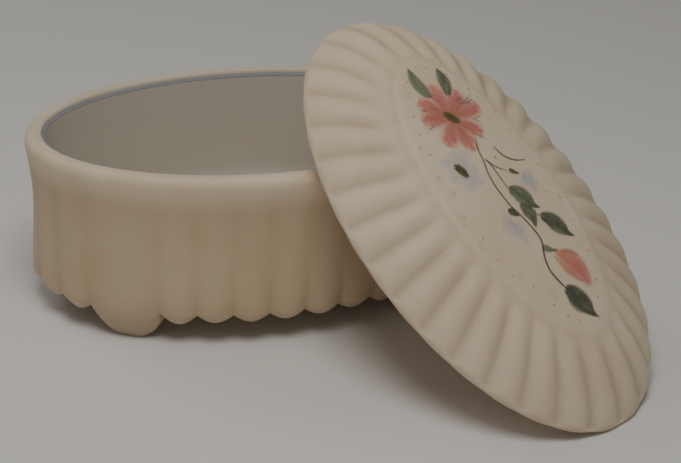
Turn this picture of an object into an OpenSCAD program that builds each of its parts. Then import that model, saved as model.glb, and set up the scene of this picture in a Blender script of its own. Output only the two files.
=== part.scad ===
// Oval covered trinket box in opaque satin glass: a dish on four scalloped feet and its lift-off lid.
// The lid is off the dish: it leans on the rim, with its lower end on the table.
// Origin: centre of the dish at the table. X runs along the oval, Z is up.

/* [Dish] */
// Length of the dish over its rim
rim_len = 112; // [92:0.5:136]
// Width of the dish over its rim
rim_wid = 70.4; // [58:0.2:86]
// Height of the dish, from the table to the top of its rim
dish_h = 44; // [36:0.5:54]
// Thickness of the wall at the rim
rim_wall = 4.6; // [3.8:0.1:5.6]
// Thickness of the dish's floor
floor_t = 3.2; // [2.6:0.1:4]
// Height of the floor's underside above the table
floor_rise = 8.6; // [7.8:0.1:10.4]
// Radius of the round inside corner where the floor meets the wall
floor_fillet = 6; // [4:0.5:8]
// Taper of the inside wall, in millimetres for each millimetre of depth
wall_taper = 0.03; // [0:0.01:0.06]

/* [Rim] */
// Radius of the rim's rounded outer shoulder
bead_r = 2; // [1.6:0.1:2.4]
// Height of the straight band around the outside of the rim
bead_h = 3; // [2.6:0.1:4]
// Depth of the waist between that band and the scallops
waist = 1.3; // [0.8:0.1:1.8]
// Width of the small step inside the rim
step_w = 0.6; // [0.4:0.1:0.8]
// Depth of the small step inside the rim
step_h = 1.4; // [1:0.1:2]

/* [Scallops and feet] */
// Number of flutes around the box
flute_count = 32; // [24:8:40]
// Height of the notches between the scallops
notch_z = 7.6; // [7:0.1:7.7]
// How far a small scallop hangs below its notches
scallop_drop = 1.8; // [1.2:0.1:2.4]
// How much lower the scallops beside a foot hang
scallop_dip = 0.6; // [0:0.1:1]
// Depth of the grooves between the scallops at the bottom of the wall
groove_deep = 1.1; // [0.6:0.1:1.6]
// Thickness of the skirt and its feet
skirt_t = 4; // [3.4:0.1:5]

/* [Lid] */
// How far the lid's edge stands out past the dish's rim
overhang = 1.15; // [0.6:0.05:2]
// Height of the lid's raised oval panel above its edge
lid_rise = 12.2; // [10:0.1:15]
// How much higher the middle of the panel is than its border
crown = 1; // [0.4:0.1:1.6]
// Length of the raised panel
panel_len = 75.4; // [62:0.2:91]
// Width of the raised panel
panel_wid = 34.4; // [28:0.2:42]
// Depth of the grooves between the lid's flutes
flute_deep = 1.3; // [0.8:0.1:1.8]
// Radius of the lid's rounded edge
edge_r = 1.3; // [1:0.1:1.6]
// Thickness of the lid
lid_wall = 4; // [3.2:0.1:4.8]
// Depth of the ring under the lid that drops inside the dish
flange_h = 4.4; // [3:0.1:5.4]
// Thickness of that ring
flange_t = 2.6; // [2.2:0.1:3]
// Gap between that ring and the dish's wall when the box is closed
flange_gap = 0.8; // [0.5:0.1:1.2]

/* [Leaning lid] */
// Slope of the leaning lid
lean_tilt = 35.7; // [33:0.1:38]
// Direction in which the lid slopes down, from the dish's length
lean_turn = -63.5; // [-70:0.1:-58]
// How far the lid's centre line passes from the dish's centre
lean_side = 17.7; // [15:0.1:20]
// Gap between the lid and the rim that it leans on
lean_gap = 0.3; // [0.2:0.05:0.5]
// Gap between the lid's lowest point and the table
table_gap = 0.05; // [0:0.01:0.1]

/* [Hidden] */

per_flute = 4; // facets across one flute
segs = flute_count * per_flute;

rim_a = rim_len / 2;
rim_b = rim_wid / 2;
lid_a = rim_a + overhang;
lid_b = rim_b + overhang;
panel_a = panel_len / 2;
panel_b = panel_wid / 2;

// ---- Points on an oval, evenly spaced along its edge ----

ARC_STEPS = 360;

function oval_point(a, b, t, z = 0) = [a * cos(t), b * sin(t), z];

// Pairs of [distance along the edge, angle] for an oval with half-axes a and b
function arc_table(a, b) = [
    for (i = 0, s = 0;
         i <= ARC_STEPS;
         s = s + norm(oval_point(a, b, i + 1) - oval_point(a, b, i)), i = i + 1) [s, i]
];

// The angles that share the edge into segs equal stretches
function even_angles(a, b) =
    let (table = arc_table(a, b), total = table[ARC_STEPS][0])
    [for (j = [0 : segs - 1]) lookup(total * j / segs, table)];

rim_angles = even_angles(rim_a, rim_b);
panel_angles = even_angles(panel_a, panel_b);

// ---- Flutes, scallops and feet, by position s counted in flutes around the oval ----

foot_flute = flute_count / 8 - 0.5;
foot_centres = [
    foot_flute,
    flute_count / 2 - foot_flute,
    flute_count / 2 + foot_flute,
    flute_count - foot_flute
];
FOOT_HALF = 1; // a foot is two flutes wide
FOOT_ROUND = 0.45; // power that turns the foot's cosine into a full, round curve
FOOT_OVER = 1.06; // how much the foot's curve overshoots the table, which leaves its pad flat

function flute_at(j) = j / per_flute;

// Distance from s to the nearest foot's centre
function foot_offset(s) = min([for (c = foot_centres) abs(s - c)]);
function on_foot(s) = foot_offset(s) < FOOT_HALF;

// 1 on the crest of a scallop or foot, 0 in the notches between them
function scallop(s) = on_foot(s) ? cos(90 * foot_offset(s)) : abs(cos(180 * s));

// 1 on the crest of a lid flute, 0 in its grooves, which have a soft bottom
SOFT = 0.2;
function soften(x) = (norm([x, SOFT]) - SOFT) / (norm([1, SOFT]) - SOFT);
function lid_flute(s) = soften(sin(180 * s));

function beside_foot(s) = foot_offset(s) < FOOT_HALF + 1;

// Height of the skirt's lower edge
function edge_z(s) =
    on_foot(s)
        ? max(0, notch_z * (1 - FOOT_OVER * pow(scallop(s), FOOT_ROUND)))
        : notch_z - (scallop_drop + (beside_foot(s) ? scallop_dip : 0)) * scallop(s);

// ---- The dish's wall: how far each height lies inside the rim's outline ----

shoulder_z = 11; // top of the scallops' rounded bellies
belly_z = 9.2; // middle of their bellies
shoulder_in = 0.45;

// The waist between the scallops and the rim's band: u is 0 at the shoulder and 1 at the band
WAIST_SKEW = 1.25; // power that moves the waist's deepest line up the wall
function waist_in(u) =
    shoulder_in * (1 - u) + (waist - shoulder_in / 2) * sin(180 * pow(u, WAIST_SKEW));

// The grooves fade out up the wall
FADE_H = 6;
function groove_in(z, s) = groove_deep * exp(-(z - belly_z) / FADE_H) * (1 - scallop(s));

// The skirt's lower edge tucks in under the wall, further on the feet and in the notches
TUCK_IN = 2.4; // at a lower edge that hangs TUCK_DROP below the notches
TUCK_DROP = 2;
TUCK_SLOPE = 0.27; // further in for each millimetre lower
TUCK_NOTCH = 0.7; // further in at a notch
function tuck_in(s) =
    TUCK_IN + TUCK_SLOPE * (notch_z - TUCK_DROP - edge_z(s)) + TUCK_NOTCH * (1 - scallop(s));

function inner_in(z) = rim_wall + wall_taper * (dish_h - z);

// ---- A closed skin over a stack of rings, with a centre point at each end ----

module skin(first, rings, last) {
    rows = len(rings);
    points = concat([first], [for (r = rings) each r], [last]);
    end = rows * segs + 1;
    function at(i, j) = 1 + i * segs + j % segs;
    polyhedron(
        points = points,
        faces = concat(
            [for (j = [0 : segs - 1]) [0, at(0, j + 1), at(0, j)]],
            [for (i = [0 : rows - 2], j = [0 : segs - 1]) [at(i, j), at(i + 1, j + 1), at(i + 1, j)]],
            [for (i = [0 : rows - 2], j = [0 : segs - 1]) [at(i, j), at(i, j + 1), at(i + 1, j + 1)]],
            [for (j = [0 : segs - 1]) [end, at(rows - 1, j), at(rows - 1, j + 1)]]
        )
    );
}

// ---- The dish ----

// A ring of the dish at one height, a fixed distance inside the rim's outline
function dish_ring(inset, z) = [for (t = rim_angles) oval_point(rim_a - inset, rim_b - inset, t, z)];

// A ring of the outer wall at one height, with its grooves
function wall_ring(inset, z) = [
    for (j = [0 : segs - 1])
    let (d = inset + groove_in(z, flute_at(j)))
    oval_point(rim_a - d, rim_b - d, rim_angles[j], z)
];

// A ring of the skirt: share 0 is the belly and share 1 the lower edge, and the two other
// numbers move it in from the outer edge and up from the lowest line
function skirt_ring(share, further_in, up) = [
    for (j = [0 : segs - 1])
    let (
        s = flute_at(j),
        belly = shoulder_in + groove_in(belly_z, s),
        d = belly + (tuck_in(s) - belly) * share + further_in,
        z = belly_z + (edge_z(s) + up - belly_z) * sqrt(share)
    )
    oval_point(rim_a - d, rim_b - d, rim_angles[j], z)
];

EDGE_ROUND = 0.6; // rounding of the skirt's lower edge
EDGE_FLARE = 0.1; // how far that edge's rounding stands out
STEP_RAMP = 0.2; // slope of the step inside the rim
MOUTH_BEVEL = 0.4; // bevel around the dish's mouth
RECESS_LEAN = 2.2; // how far the wall of the recess under the floor leans in
RECESS_CORNER = [1.2, 0.2]; // width and height of the soft corner at the top of that wall
WALL_ROWS = [1, 0.88, 0.74, 0.58, 0.42, 0.26, 0.12, 0]; // from the band down to the shoulder

module base_dish() {
    floor_top = floor_rise + floor_t;
    floor_in = inner_in(floor_top + floor_fillet);
    band_low = dish_h - bead_h;
    recess_in = TUCK_IN + skirt_t + RECESS_LEAN;
    color([0.87, 0.82, 0.73])
    skin(
        [0, 0, floor_top],
        concat(
            // floor and the round corner up to the inside wall
            [for (a = [0, 30, 60, 90])
                dish_ring(floor_in + floor_fillet * (1 - sin(a)), floor_top + floor_fillet * (1 - cos(a)))],
            // step inside the rim
            [
                dish_ring(rim_wall, dish_h - step_h),
                dish_ring(rim_wall - step_w, dish_h - step_h + STEP_RAMP),
                dish_ring(rim_wall - step_w, dish_h - MOUTH_BEVEL),
                dish_ring(rim_wall - step_w - MOUTH_BEVEL, dish_h)
            ],
            // top and rounded shoulder of the rim
            [for (a = [0, 30, 60, 90])
                dish_ring(bead_r * (1 - sin(a)), dish_h - bead_r * (1 - cos(a)))],
            // the waisted wall with its fading grooves
            [for (u = WALL_ROWS) wall_ring(waist_in(u), shoulder_z + (band_low - shoulder_z) * u)],
            // scalloped skirt and feet, around their lower edge
            [
                skirt_ring(0, 0, 0),
                skirt_ring(0.3, 0, EDGE_ROUND),
                skirt_ring(1, -EDGE_FLARE, EDGE_ROUND),
                skirt_ring(1, EDGE_ROUND, 0),
                skirt_ring(1, skirt_t - EDGE_ROUND, 0),
                skirt_ring(1, skirt_t, EDGE_ROUND)
            ],
            // recess under the floor
            [
                dish_ring(recess_in, floor_rise - RECESS_CORNER[1]),
                dish_ring(recess_in + RECESS_CORNER[0], floor_rise)
            ]
        ),
        [0, 0, floor_rise]
    );
}

// ---- The lid, in its own frame: its edge lies in the plane z = 0 ----

// Height of the crest line, from the panel's border (u = 0) down to the widest line of the edge (u = 1)
PANEL_STEP = 0.5; // drop from the panel to its border
CREST_TOP = 1.6; // powers that bend the crest line over near the panel and near the edge
CREST_EDGE = 0.76;
function crest_z(u) =
    edge_r + (lid_rise - PANEL_STEP - edge_r) * pow(1 - pow(u, CREST_TOP), CREST_EDGE);

// The grooves open out from the panel and close again just before the rounded edge
GROOVE_FULL = 0.4; // where they reach their full depth
GROOVE_CLOSE = 0.45; // share of that depth that they lose at the edge
GROOVE_LATE = 20; // power that keeps the closing near the edge
function groove_z(u, s) =
    flute_deep * (1 - cos(180 * min(1, u / GROOVE_FULL))) / 2
    * (1 - GROOVE_CLOSE * pow(u, GROOVE_LATE)) * (1 - lid_flute(s));

// A point in plan between the panel's border and the edge, along the straight line of a flute
function lid_plan(j, u) =
    (1 - u) * oval_point(panel_a, panel_b, panel_angles[j])
    + u * oval_point(lid_a, lid_b, rim_angles[j]);

function fluted_ring(u) = [
    for (j = [0 : segs - 1])
    lid_plan(j, u) + [0, 0, crest_z(u) - groove_z(u, flute_at(j))]
];

// A ring of the panel, as a share of its full size
function panel_ring(share, z) = [
    for (t = panel_angles) oval_point(panel_a * share, panel_b * share, t, z)
];
function panel_z(share) = lid_rise + crown * (1 - share * share);

// A ring at one height, a fixed distance inside the lid's edge
function lid_ring(inset, z) = [for (t = rim_angles) oval_point(lid_a - inset, lid_b - inset, t, z)];

// A ring of the rounded edge, from its widest line (a = 0) to the seat (a = 90). The grooves
// still cut into it a little.
EDGE_NOTCH = 0.2;
function edge_ring(a) = [
    for (j = [0 : segs - 1])
    let (d = edge_r * (1 - cos(a)) + EDGE_NOTCH * cos(a) * (1 - lid_flute(flute_at(j))))
    oval_point(lid_a - d, lid_b - d, rim_angles[j], edge_r * (1 - sin(a)))
];

flange_in = overhang + rim_wall + flange_gap;
flange_r = flange_t / 2;
PANEL_ROUND = 0.93; // where the panel's rounded border begins
SLOPE_ROWS = [0, 0.06, 0.14, 0.25, 0.4, 0.56, 0.7, 0.82, 0.91, 0.97]; // from the panel to the edge
SEAT_CORNER = 0.2; // bevel where the flat seat meets the inner ring

// The hollow's round corner: how far inside the ring each row lies, the place u on the crest line
// that it follows at one wall's thickness, and how much lower it stays
HOLLOW_CORNER = [[0, 0.55, 2.5], [1.2, 0.5, 0.6], [3.5, 0.4, 0]];
HOLLOW_MID = 0.6; // where the hollow's ceiling follows the crowned panel

module lid_shape() {
    hollow_in = flange_in + flange_t;
    skin(
        [0, 0, lid_rise + crown],
        concat(
            [for (k = [0.35, 0.7, PANEL_ROUND]) panel_ring(k, panel_z(k))],
            [for (u = SLOPE_ROWS) fluted_ring(u)],
            // rounded edge and the flat seat that rests on the rim
            [for (a = [0, 45, 90]) edge_ring(a)],
            [lid_ring(flange_in - SEAT_CORNER, 0), lid_ring(flange_in, -SEAT_CORNER)],
            // ring that drops inside the dish
            [for (a = [0, 60, 120, 180])
                lid_ring(flange_in + flange_r * (1 - cos(a)), flange_r * (1 - sin(a)) - flange_h)],
            // hollow underneath, one wall's thickness below the top
            [for (c = HOLLOW_CORNER) lid_ring(hollow_in + c[0], crest_z(c[1]) - lid_wall - c[2])],
            [
                panel_ring(1, lid_rise - PANEL_STEP - lid_wall),
                panel_ring(HOLLOW_MID, panel_z(HOLLOW_MID) - lid_wall)
            ]
        ),
        [0, 0, lid_rise + crown - lid_wall]
    );
}

// ---- How the lid leans: its edge on the table, its inner ring across the rim ----

// Height of the lid's centre when its lowest line, the edge or a deep inner ring, is on the table
edge_hang = (lid_a - edge_r) * sin(lean_tilt) + edge_r * (1 - cos(lean_tilt));
ring_hang = (lid_a - flange_in - flange_r) * sin(lean_tilt) + (flange_h - flange_r) * cos(lean_tilt) + flange_r;
lean_z = max(edge_hang, ring_hang) + table_gap;

// The centre of the lid when it stands reach millimetres out from the dish's centre
function lean_centre(reach) = [
    reach * cos(lean_turn) - lean_side * sin(lean_turn),
    reach * sin(lean_turn) + lean_side * cos(lean_turn),
    lean_z
];

// A point of the dish in the leaning lid's own frame
function in_lid(p, reach) =
    let (
        d = p - lean_centre(reach),
        along = d[0] * cos(lean_turn) + d[1] * sin(lean_turn),
        across = d[1] * cos(lean_turn) - d[0] * sin(lean_turn)
    )
    [along * cos(lean_tilt) - d[2] * sin(lean_tilt), across, along * sin(lean_tilt) + d[2] * cos(lean_tilt)];

// Distance in plan from a point to an oval, good close to the oval
function off_oval(p, a, b) =
    let (f = norm([p[0] / a, p[1] / b]))
    (f - 1) * f / norm([p[0] / (a * a), p[1] / (b * b)]);

// Smallest gap between the rim's shoulder and the rounded bottom of the lid's inner ring
function rim_clearance(reach) =
    let (
        a = lid_a - flange_in - flange_r,
        b = lid_b - flange_in - flange_r
    )
    min([
        for (t = [lean_turn - 100 : 1 : lean_turn + 100])
        let (p = in_lid(oval_point(rim_a - bead_r, rim_b - bead_r, t, dish_h - bead_r), reach))
        norm([off_oval(p, a, b), p[2] + flange_h - flange_r])
    ]) - bead_r - flange_r;

// The lid slides in until it touches, in steps and then by halving the last step
function first_touch(reach) = rim_clearance(reach) < lean_gap ? reach : first_touch(reach - 1);
function halve(near, far, times) =
    times == 0
        ? far
        : let (mid = (near + far) / 2)
          rim_clearance(mid) < lean_gap ? halve(mid, far, times - 1) : halve(near, mid, times - 1);
touch = first_touch(rim_a + lid_a);
lean_reach = halve(touch, touch + 1, 12);

module lid() {
    color([0.90, 0.85, 0.76])
    translate(lean_centre(lean_reach))
    rotate([0, 0, lean_turn])
    rotate([0, lean_tilt, 0])
    lid_shape();
}

base_dish();
lid();
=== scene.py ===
# %% [markdown]
# # An oval covered trinket box in satin glass
#
# The box is two pieces of pressed glass: a dish on four scalloped feet, and a lid that lies on it.
# Here the lid is off and leans on the dish's rim. The CAD model gives every size and place; this
# notebook gives the same two pieces a finer skin, a satin glass finish and the painted flower spray.

import math
import random

import bpy
from mathutils import Matrix, Vector


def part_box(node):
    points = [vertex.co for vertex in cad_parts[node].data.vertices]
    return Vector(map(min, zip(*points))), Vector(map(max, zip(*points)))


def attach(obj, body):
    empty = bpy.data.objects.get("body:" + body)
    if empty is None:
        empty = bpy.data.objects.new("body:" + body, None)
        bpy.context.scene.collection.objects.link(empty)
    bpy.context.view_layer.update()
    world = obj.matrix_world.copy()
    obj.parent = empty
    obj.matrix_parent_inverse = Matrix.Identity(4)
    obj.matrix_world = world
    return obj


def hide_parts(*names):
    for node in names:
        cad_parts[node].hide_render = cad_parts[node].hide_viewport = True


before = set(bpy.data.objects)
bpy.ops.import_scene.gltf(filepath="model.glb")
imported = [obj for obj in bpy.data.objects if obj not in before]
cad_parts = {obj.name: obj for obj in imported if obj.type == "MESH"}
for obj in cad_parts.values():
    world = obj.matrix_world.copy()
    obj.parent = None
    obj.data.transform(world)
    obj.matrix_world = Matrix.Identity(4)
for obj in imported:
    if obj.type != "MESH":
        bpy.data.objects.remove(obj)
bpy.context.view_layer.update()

# %% [markdown]
# ## The camera
#
# A camera in Blender looks along its own -Z axis. The view is that of someone who stands close to
# the table, a little to the left, and looks down at nearly a third of a right angle: the rim then
# reads as a thin oval and the leaning lid shows its whole top. The lens is a long one.

# %% Place the camera
MM = 0.001
CAMERA_TURN = math.radians(-18.2158)
CAMERA_RISE = math.radians(27.2386)
CAMERA_ROLL = math.radians(2.5776)
CAMERA_TARGET = Vector((13.9643, -27.5252, 25.0)) * MM
CAMERA_DISTANCE = 382.556 * MM
SENSOR_WIDTH = 36.0
CAMERA_LENS = 85.03082  # in the same measure as the sensor's width
CLIP_START = 0.01


def place_camera():
    """Makes the camera from its turn, rise and roll around the target."""
    back = Vector((
        math.sin(CAMERA_TURN) * math.cos(CAMERA_RISE),
        -math.cos(CAMERA_TURN) * math.cos(CAMERA_RISE),
        math.sin(CAMERA_RISE),
    ))
    right = Vector((0, 0, 1)).cross(back).normalized()
    up = back.cross(right)
    turn, lean = math.cos(CAMERA_ROLL), math.sin(CAMERA_ROLL)
    across, upward = turn * right + lean * up, turn * up - lean * right
    data = bpy.data.cameras.new("camera")
    data.sensor_width = SENSOR_WIDTH
    data.lens = CAMERA_LENS
    data.clip_start = CLIP_START
    camera = bpy.data.objects.new("camera", data)
    axes = Matrix((across, upward, back)).transposed().to_4x4()
    camera.matrix_world = Matrix.Translation(CAMERA_TARGET + CAMERA_DISTANCE * back) @ axes
    bpy.context.scene.collection.objects.link(camera)
    bpy.context.scene.camera = camera
    return camera


print("camera stands at", place_camera().matrix_world.translation[:])

# %% [markdown]
# ## Writing node trees as sums
#
# Geometry and materials are both made by node trees. Wiring them by hand is long, so two small
# classes do it. `Value` wraps one socket, so that `a * 2 + b` adds the Math nodes for that sum.
# `Graph` adds any other node: its settings first, because they can change which sockets it has.

# %% Two helpers for node trees
class Value:
    """A node's output socket, which Python's signs can reckon with."""

    def __init__(self, graph, socket):
        self.graph, self.socket = graph, socket

    def __getitem__(self, name):
        """Another output of the same node."""
        return Value(self.graph, self.socket.node.outputs[name])

    def reckon(self, operation, *parts):
        return self.graph.node("ShaderNodeMath", {"operation": operation}, parts)

    def __add__(self, other):
        return self.reckon("ADD", self, other)

    def __radd__(self, other):
        return self.reckon("ADD", other, self)

    def __sub__(self, other):
        return self.reckon("SUBTRACT", self, other)

    def __rsub__(self, other):
        return self.reckon("SUBTRACT", other, self)

    def __mul__(self, other):
        return self.reckon("MULTIPLY", self, other)

    def __rmul__(self, other):
        return self.reckon("MULTIPLY", other, self)

    def __truediv__(self, other):
        return self.reckon("DIVIDE", self, other)

    def __rtruediv__(self, other):
        return self.reckon("DIVIDE", other, self)

    def __pow__(self, other):
        return self.reckon("POWER", self, other)

    def __abs__(self):
        return self.reckon("ABSOLUTE", self)

    def __lt__(self, other):
        return self.reckon("LESS_THAN", self, other)

    def __gt__(self, other):
        return self.reckon("GREATER_THAN", self, other)

    def least(self, other):
        return self.reckon("MINIMUM", self, other)

    def most(self, other):
        return self.reckon("MAXIMUM", self, other)

    def floor(self):
        return self.reckon("FLOOR", self)

    def root(self):
        return self.reckon("SQRT", self)

    def sine(self):
        return self.reckon("SINE", self)

    def cosine(self):
        return self.reckon("COSINE", self)

    def ramp(self, low, high):
        """0 below low and 1 above high, with soft ends."""
        return self.graph.node(
            "ShaderNodeMapRange", {"interpolation_type": "SMOOTHSTEP"},
            {"Value": self, "From Min": low, "From Max": high})


class Graph:
    """Adds nodes to one tree."""

    def __init__(self, tree):
        self.tree = tree

    def node(self, kind, settings=None, inputs=()):
        """Adds a node and returns its first output. Inputs go by name or by number."""
        made = self.tree.nodes.new(kind)
        for name, setting in (settings or {}).items():
            setattr(made, name, setting)
        for key, given in inputs.items() if isinstance(inputs, dict) else enumerate(inputs):
            if isinstance(given, Value):
                self.tree.links.new(given.socket, made.inputs[key])
            else:
                made.inputs[key].default_value = given
        return Value(self, made.outputs[0]) if made.outputs else made

    def blend(self, share, first, second):
        """Two colours mixed by a share."""
        return self.node("ShaderNodeMix", {"data_type": "RGBA", "blend_type": "MIX"},
                         {0: share, 6: first, 7: second})[2]


print("helpers ready:", Value.__name__, Graph.__name__)

# %% [markdown]
# ## Sizes of the real box
#
# These repeat the CAD model's sizes in millimetres, so a change there is made here too. The looks
# follow the same rules with more points, so that curves come out smooth where the CAD has flats.

# %% Sizes in millimetres
FLUTES = 32
RIM = (56.0, 35.2)  # half length and half width of the dish over its rim
DISH_H, RIM_WALL, WALL_TAPER = 44.0, 4.6, 0.03
FLOOR_T, FLOOR_RISE, FLOOR_FILLET = 3.2, 8.6, 6.0
BEAD_R, BEAD_H, WAIST, STEP_W, STEP_H = 2.0, 3.0, 1.3, 0.6, 1.4
NOTCH_Z, SCALLOP_DROP, SCALLOP_DIP, GROOVE_DEEP, SKIRT_T = 7.6, 1.8, 0.6, 1.1, 4.0
SHOULDER_Z, BELLY_Z, SHOULDER_IN, FADE_H = 11.0, 9.2, 0.45, 6.0
TUCK_IN, TUCK_DROP, TUCK_SLOPE, TUCK_NOTCH = 2.4, 2.0, 0.27, 0.7
FOOT_ROUND, FOOT_OVER, EDGE_ROUND, EDGE_FLARE = 0.45, 1.06, 0.6, 0.1

LID = (57.15, 36.35)  # half length and half width of the lid
PANEL = (37.7, 17.2)  # half length and half width of its raised panel
LID_RISE, CROWN, PANEL_STEP = 12.2, 1.0, 0.5
FLUTE_DEEP, EDGE_R, LID_WALL, GROOVE_FULL = 1.3, 1.3, 4.0, 0.36
GROOVE_CLOSE, EDGE_NOTCH, CREST_TOP, CREST_EDGE = 0.45, 0.2, 1.6, 0.76
FLANGE_IN, FLANGE_H, FLANGE_R = 6.55, 4.4, 1.3
FLANGE_ROOT = 0.2  # the small round where the ring meets the lid's underside
LEAN_TILT, LEAN_TURN = math.radians(35.7), math.radians(-63.5)
LEAN_CENTRE = Vector((41.4733, -43.5141, 32.8851)) * MM
print("dish", 2 * RIM[0], "by", 2 * RIM[1], "mm; lid", 2 * LID[0], "by", 2 * LID[1], "mm")

# %% [markdown]
# ## A shell from rows and columns
#
# Both pieces are closed shells: rows run around the oval and columns run from the middle of the
# top to the middle of the underside. Each row is one vertex of a small profile mesh that carries
# its numbers as attributes. A Geometry Nodes tree lays a grid over rows and columns, bends it
# round and moves each point by the rule of its piece. This beats modelling one flute and copying
# it, because the flutes fan out differently at every place on an oval.

# %% Profile rows and the grid over them
PER_FLUTE = 16  # columns across one flute
OVAL_STEPS = 1440  # points on the curve that spaces the columns evenly
ROUNDING = 1e-5  # keeps a whole row number from falling just below itself
WELD = 1e-6  # points nearer than this are made one, which closes the seam and the poles


def profile_object(name, keys, rows):
    """A mesh with one vertex for each row, and an attribute for each key."""
    mesh = bpy.data.meshes.new(name)
    mesh.from_pydata([(0, 0, i * MM) for i in range(len(rows))],
                     [(i, i + 1) for i in range(len(rows) - 1)], [])
    for k, key in enumerate(keys):
        layer = mesh.attributes.new(key, "FLOAT", "POINT")
        layer.data.foreach_set("value", [float(row[k]) for row in rows])
    made = bpy.data.objects.new(name, mesh)
    bpy.context.scene.collection.objects.link(made)
    return made


def new_tree(name, numbers):
    """An empty geometry tree with named number inputs. Returns its graph, geometry and inputs."""
    tree = bpy.data.node_groups.new(name, "GeometryNodeTree")
    tree.interface.new_socket("Geometry", in_out="OUTPUT", socket_type="NodeSocketGeometry")
    tree.interface.new_socket("Geometry", in_out="INPUT", socket_type="NodeSocketGeometry")
    for number in numbers:
        tree.interface.new_socket(number, in_out="INPUT", socket_type="NodeSocketFloat")
    tree.interface.new_socket("Finish", in_out="INPUT", socket_type="NodeSocketMaterial")
    graph = Graph(tree)
    return graph, graph.node("NodeGroupInput")


class Grid:
    """The grid's own numbers: which row and column a point is in, and the row's attributes."""

    def __init__(self, graph, given):
        self.graph, self.profile = graph, given["Geometry"]
        rows = graph.node("GeometryNodeAttributeDomainSize", {"component": "MESH"}, [self.profile])
        self.columns = given["Columns"]
        self.mesh = graph.node("GeometryNodeMeshGrid", {}, {
            "Size X": 1.0, "Size Y": 1.0, "Vertices X": rows, "Vertices Y": self.columns + 1.0})
        index = graph.node("GeometryNodeInputIndex")
        self.row = (index / (self.columns + 1.0) + ROUNDING).floor()
        self.column = index - self.row * (self.columns + 1.0)
        self.place = self.column / self.columns * given["Flutes"]  # counted in flutes

    def of_row(self, key):
        """A row's number, read from the profile."""
        field = self.graph.node("GeometryNodeInputNamedAttribute", {"data_type": "FLOAT"}, {"Name": key})
        return self.graph.node("GeometryNodeSampleIndex", {"data_type": "FLOAT", "domain": "POINT"},
                               {"Geometry": self.profile, "Value": field, "Index": self.row})

    def round_oval(self, half_length, half_width):
        """Cosine and sine of each column's angle, in equal steps along that oval's edge."""
        graph = self.graph
        circle = graph.node("GeometryNodeCurvePrimitiveCircle", {"mode": "RADIUS"},
                            {"Resolution": OVAL_STEPS, "Radius": 1.0})
        size = graph.node("ShaderNodeCombineXYZ", {}, [half_length, half_width, 1.0])
        oval = graph.node("GeometryNodeTransform", {}, {"Geometry": circle, "Scale": size})
        found = graph.node("GeometryNodeSampleCurve", {"mode": "FACTOR"},
                           {"Curves": oval, "Factor": self.column / self.columns})
        place = graph.node("ShaderNodeSeparateXYZ", {}, [found["Position"]])
        return place["X"] / half_length, place["Y"] / half_width


def close_shell(graph, grid, given, x, y, z, stored):
    """Moves the grid's points, closes its seam and poles, and sets the finish."""
    place = graph.node("ShaderNodeCombineXYZ", {}, [x, y, z])
    shell = graph.node("GeometryNodeSetPosition", {}, {"Geometry": grid.mesh, "Position": place})
    for key, value in stored.items():
        shell = graph.node("GeometryNodeStoreNamedAttribute", {"data_type": "FLOAT", "domain": "POINT"},
                           {"Geometry": shell, "Name": key, "Value": value})
    shell = graph.node("GeometryNodeMergeByDistance", {}, {"Geometry": shell, "Distance": WELD})
    shell = graph.node("GeometryNodeSetShadeSmooth", {}, {"Geometry": shell})
    end_tree(graph, shell, given)


def end_tree(graph, geometry, given):
    """Every tree ends in real geometry with its material."""
    real = graph.node("GeometryNodeRealizeInstances", {}, {"Geometry": geometry})
    done = graph.node("GeometryNodeSetMaterial", {}, {"Geometry": real, "Material": given["Finish"]})
    graph.node("NodeGroupOutput", {}, [done])


def run_tree(source, tree, numbers, finish, name):
    """Runs a tree on an object and keeps the result as a plain mesh object of that name."""
    modifier = source.modifiers.new(tree.name, "NODES")
    modifier.node_group = tree
    for item in tree.interface.items_tree:
        if item.in_out == "INPUT" and item.name in numbers:
            given = numbers[item.name]
            modifier[item.identifier] = given if isinstance(given, bpy.types.Object) else float(given)
        elif item.in_out == "INPUT" and item.name == "Finish":
            modifier[item.identifier] = finish
    seen = source.evaluated_get(bpy.context.evaluated_depsgraph_get())
    mesh = bpy.data.meshes.new_from_object(seen, preserve_all_data_layers=True,
                                           depsgraph=bpy.context.evaluated_depsgraph_get())
    source.modifiers.clear()
    bpy.data.objects.remove(source)
    mesh.name = name
    made = bpy.data.objects.new(name, mesh)
    bpy.context.scene.collection.objects.link(made)
    return made


def rising(steps, low=0.0, high=1.0):
    """Even numbers from low to high, with both ends."""
    return [low + (high - low) * i / steps for i in range(steps + 1)]


def between(first, last, steps):
    """Rows that run evenly from one row to another, without the two ends."""
    return [tuple(a + (b - a) * i / steps for a, b in zip(first, last)) for i in range(1, steps)]


print("columns around each piece:", FLUTES * PER_FLUTE)

# %% [markdown]
# ## The dish
#
# From the middle of the floor the rows climb the inside wall, turn over the rim's bead, come down
# the waisted outside, run round the skirt's lower edge and end in the middle of the recess under
# the floor. Four of the scallops are feet: two flutes wide, and down to the table. The grooves
# between the scallops fade out up the wall.

# %% Rows of the dish
DISH_KEYS = ("open", "inset", "height", "groove", "tuck", "drop", "inner")
WAIST_SKEW = 1.25  # above 1 sets the waist's narrowest place nearer the rim
STEP_ROUND, STEP_LIFT = 0.3, 0.05  # the soft tread of the step inside the rim
LIP_ROUND = 0.6  # the rim's inner edge
BAND_FOOT = 0.5  # straight stretch left below the band round the rim
EDGE_GROW = 0.3  # share of the skirt over which its rounded edge grows
RECESS_IN, RECESS_ROUND, RECESS_DROP = 2.2, 1.2, 0.5  # the corner of the recess under the floor


def plain_row(inset, height, groove=0.0, inner=0.0):
    return (1, inset * MM, height * MM, groove * MM, 0, 0, inner)


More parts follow.
